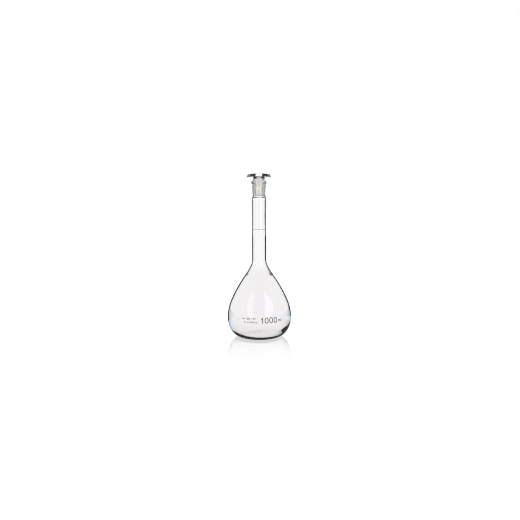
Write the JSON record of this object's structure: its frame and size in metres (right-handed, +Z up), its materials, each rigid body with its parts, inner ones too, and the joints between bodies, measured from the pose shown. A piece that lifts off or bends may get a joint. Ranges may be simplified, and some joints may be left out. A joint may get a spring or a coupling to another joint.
{
  "type": "volumetric flask",
  "caption": "Clear glass volumetric flask with a pear-shaped bulb, long graduated neck and a ground glass stopper that lifts out.",
  "frame": {"origin": "centre of the foot ring, on the plane the flask stands on", "axes": "+Z up along the neck's axis; +X and +Y across the bulb, the printed side faces -Y"},
  "size_m": [0.1244, 0.1244, 0.3175],
  "materials": {
    "clear_glass": "polished",
    "ground_glass": "ground",
    "enamel": "fired enamel"
  },
  "bodies": {
    "flask": {"flask_bulb": "clear_glass", "neck_tube": "clear_glass", "ground_socket": "ground_glass", "ring_mark": "enamel"},
    "stopper": {"stopper_plug": "ground_glass", "stopper_head": "clear_glass"}
  },
  "joints": [
    {"name": "stopper_lift", "type": "slide", "parent": "flask", "child": "stopper", "axis": [0, 0, 1], "range_m": [0, 0.08]}
  ]
}
